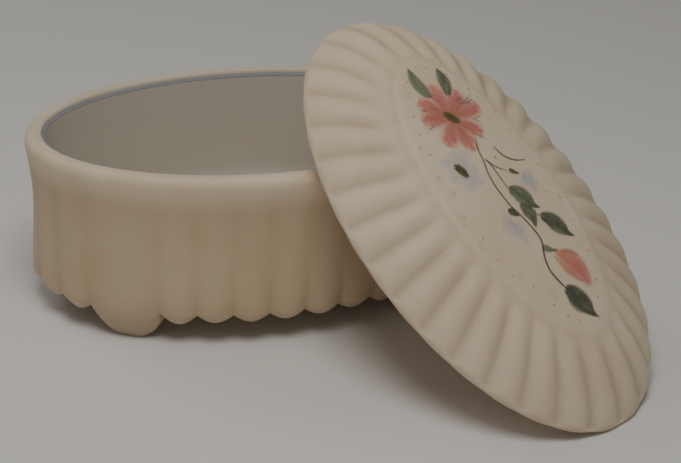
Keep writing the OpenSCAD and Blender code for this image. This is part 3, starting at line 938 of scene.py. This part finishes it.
SPRIGS = sprig((-8.0, -7.4), [(-13.0, -6.4), (-12.0, -3.2), (-11.8, -10.6), (-7.4, -3.2), (-6.6, -11.2),
                              (-3.4, -4.4), (-2.8, -8.0)], 2.7)
SPRIGS += sprig((-1.9, 8.0), [(-1.4, 11.0), (1.4, 10.6), (3.2, 8.9), (0.9, 6.6)], 2.1)
SPRIGS += sprig((8.0, -3.4), [(5.4, -5.0), (8.0, -7.0), (11.0, -5.9), (13.2, -3.4), (10.4, -1.6)], 2.1)

DOTS = [(-35.2, 2.7), (-33.1, -5.1), (-29.7, -7.6), (-24.5, -9.9), (-19.8, -11.4), (-32.0, 7.0),
        (-28.5, 8.8), (-23.7, 11.0), (-14.4, -12.4), (-17.0, -13.4), (-8.6, -14.4), (-4.0, -13.0),
        (-8.0, 3.6), (-18.9, 13.2), (-13.3, 13.6), (-3.0, 15.0), (-8.3, 3.9), (2.0, -14.6), (8.3, -13.8),
        (13.9, -13.6), (18.7, -12.3), (22.8, -9.3), (4.0, 11.3), (31.2, 5.7), (27.6, 8.4), (32.1, -5.5),
        (28.5, -7.1), (6.5, 14.4), (12.7, 13.9), (20.9, 12.0), (34.2, -3.2), (-36.0, 0.2), (-26.6, 10.4)]
dot_strokes = []
for x, y in DOTS:
    long, wide = hand.uniform(0.5, 0.9), hand.uniform(0.25, 0.45)
    dot_strokes.append(swell([(x - long / 2, y), (x, y + 0.1), (x + long / 2, y)], wide, 0.5, 0.3, 0.3))
haze_strokes = []
HAZE_DABS = 30  # a faint straw haze round the border
for i in range(HAZE_DABS):
    angle = 2 * math.pi * (i + hand.uniform(-0.3, 0.3)) / HAZE_DABS
    share = hand.uniform(0.72, 0.93)
    x, y = PANEL[0] * share * math.cos(angle), PANEL[1] * share * math.sin(angle)
    long, wide = hand.uniform(1.2, 2.2), hand.uniform(1.2, 2.2)
    haze_strokes.append(swell([(x - long, y), (x, y + 0.2), (x + long, y)], wide, 0.5, 0.4, 0.4))
print("centres:", len(CENTRES), "sprig petals:", len(SPRIGS), "dots:", len(dot_strokes))

# %% [markdown]
# ## Enamel finishes
#
# A loaded brush leaves thick colour where it presses and streaks where it lifts. Each stroke
# carries how far along it a point is, how far across, and a tone of its own, so one small recipe
# makes every paint: two colours mixed by streaks, and an Alpha that fades at the stroke's edges.

# %% Enamel finishes
def enamel(name, dark, light, cover, streaks=7.0, soft=0.35, tip_colour=None, rough=0.3):
    """Fired enamel paint. Cover is how much it hides; soft is how wide its faded edge is."""
    material = bpy.data.materials.new(name)
    graph, shader, where = start_finish(material)
    along, across, tone = carried(graph, "along"), carried(graph, "across"), carried(graph, "tone")
    brush = graph.node("ShaderNodeCombineXYZ", {}, [across * streaks, along * 2.5, tone * 60])
    hairs = noise(graph, brush, 1.0, 3.0, 0.6)
    mottle = noise(graph, where, 700.0, 2.0)
    body = graph.blend((hairs * 0.75 + tone * 0.25).ramp(0.3, 0.7), dark, light)
    if tip_colour:
        body = graph.blend((1 - along).ramp(0.35, 1.0), body, tip_colour)
    edge = (1 - abs(across)).ramp(0.0, soft)
    ends = along.ramp(0.0, 0.08) * (1 - along).ramp(0.0, 0.1)
    dry = 0.7 + 0.3 * (hairs * 0.6 + mottle * 0.4).ramp(0.32, 0.55)
    bump = graph.node("ShaderNodeBump", {}, {"Strength": 0.3, "Distance": 0.00005, "Height": hairs})
    feed(shader, Base_Color=body, Roughness=rough + 0.2 * hairs, Alpha=edge * ends * dry * cover,
         Normal=bump, IOR=1.5)
    return material


PAINTS = {
    "straw_haze": (colour(224, 190, 112), colour(230, 204, 140), 0.1, 2.0, 1.0),
    "straw_dots": (colour(196, 148, 66), colour(222, 184, 96), 0.6, 3.0, 0.9),
    "pale_blue": (colour(216, 218, 226), colour(202, 208, 222), 0.34, 2.0, 1.0),
    "pink_wash": (colour(232, 146, 136), colour(236, 166, 150), 0.62, 2.0, 1.0),
    "coral_pink": (colour(222, 116, 110), colour(236, 152, 142), 0.48, 3.0, 1.0),
    "leaf_green": (colour(62, 74, 58), colour(132, 144, 114), 0.84, 2.6, 0.5),
    "stem_green": (colour(48, 56, 42), colour(78, 86, 62), 0.9, 3.0, 0.7),
    "centre_green": (colour(84, 74, 48), colour(138, 120, 76), 0.8, 2.0, 0.8),
}
finishes = {}
for name, (dark, light, cover, streaks, soft) in PAINTS.items():
    warm = colour(226, 158, 118) if name == "coral_pink" else None
    finishes[name] = enamel(name, dark, light, cover, streaks, soft, warm)
print("paints:", ", ".join(finishes))

# %% Paint the lid
painted = [
    paint("painted_haze", haze_strokes, finishes["straw_haze"], lift=0.0, thickness=0.02),
    paint("painted_dots", dot_strokes, finishes["straw_dots"], lift=0.01, along=8, around=10),
    paint("painted_sprigs", SPRIGS, finishes["pale_blue"], lift=0.01),
    paint("painted_washes", washes, finishes["pink_wash"], lift=0.02, thickness=0.03,
          along=20, around=20),
    paint("painted_petals", petal_strokes + BUD, finishes["coral_pink"], lift=0.04),
    paint("painted_leaves", LEAVES, finishes["leaf_green"], lift=0.05, thickness=0.06,
          along=28, around=16),
    paint("painted_stems", STEMS, finishes["stem_green"], lift=0.09, along=40, around=8),
    paint("painted_centres", CENTRES, finishes["centre_green"], lift=0.1, thickness=0.06,
          along=10, around=10),
]

# %% [markdown]
# ## Put the lid in its place
#
# The lid and its paint are leant together: a turn about Y tilts them, a turn about Z points the
# low end, and a shift sets the middle where the CAD model has it. The turn goes into the meshes
# themselves, so that every object stays at the origin, as the frame asks.

# %% Lean the lid and hang everything on its body
LEAN = (Matrix.Translation(LEAN_CENTRE) @ Matrix.Rotation(LEAN_TURN, 4, "Z")
        @ Matrix.Rotation(LEAN_TILT, 4, "Y"))
for piece in [lid] + painted:
    piece.data.transform(LEAN)
    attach(piece, "lid")
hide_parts("lid")
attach(dish, "dish")
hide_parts("base_dish")
low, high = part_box("lid")
points = [vertex.co for vertex in lid.data.vertices]
print("lid against the CAD, in mm:", [round((min(p[i] for p in points) - low[i]) / MM, 2) for i in range(3)],
      [round((max(p[i] for p in points) - high[i]) / MM, 2) for i in range(3)])

# %% [markdown]
# ## Table and light
#
# A plain pale table, a soft lamp close overhead and another further off, behind on the left, model
# the flutes by broad shades. The first lamp is near, so its light falls away down the leaning lid,
# and the wall that faces the eye stays darker than the rim.

# %% Table and light
TABLE_HALF = 3  # metres
BOX_MIDDLE = (0.0, 0.0, 0.03)
LAMP_TINT = (1.0, 0.98, 0.95)
ROOM_TINT, ROOM_STRENGTH = (1.0, 0.98, 0.96, 1.0), 0.18


def table():
    mesh = bpy.data.meshes.new("table")
    corners = [(x * TABLE_HALF, y * TABLE_HALF, 0) for x, y in ((-1, -1), (1, -1), (1, 1), (-1, 1))]
    mesh.from_pydata(corners, [], [(0, 1, 2, 3)])
    top = bpy.data.objects.new("table", mesh)
    bpy.context.scene.collection.objects.link(top)
    material = bpy.data.materials.new("pale_table")
    shader = start_finish(material)[1]
    feed(shader, Base_Color=colour(238, 236, 232), Roughness=0.8)
    mesh.materials.append(material)


def soft_lamp(name, place, target, size, watts, tint):
    data = bpy.data.lights.new(name, "AREA")
    data.shape, data.size, data.energy, data.color = "DISK", size, watts, tint
    lamp = bpy.data.objects.new(name, data)
    aim = (Vector(target) - Vector(place)).to_track_quat("-Z", "Y")
    lamp.matrix_world = Matrix.Translation(place) @ aim.to_matrix().to_4x4()
    lamp.visible_camera = False
    bpy.context.scene.collection.objects.link(lamp)


table()
soft_lamp("overhead", (-0.05, -0.17, 0.4), BOX_MIDDLE, size=0.2, watts=0.64, tint=LAMP_TINT)
soft_lamp("behind", (-0.35, 0.42, 0.5), BOX_MIDDLE, size=0.3, watts=0.5, tint=LAMP_TINT)
world = bpy.data.worlds.new("room")
bpy.context.scene.world = world
world.use_nodes = True
sky = world.node_tree.nodes["Background"].inputs
sky["Color"].default_value = ROOM_TINT
sky["Strength"].default_value = ROOM_STRENGTH
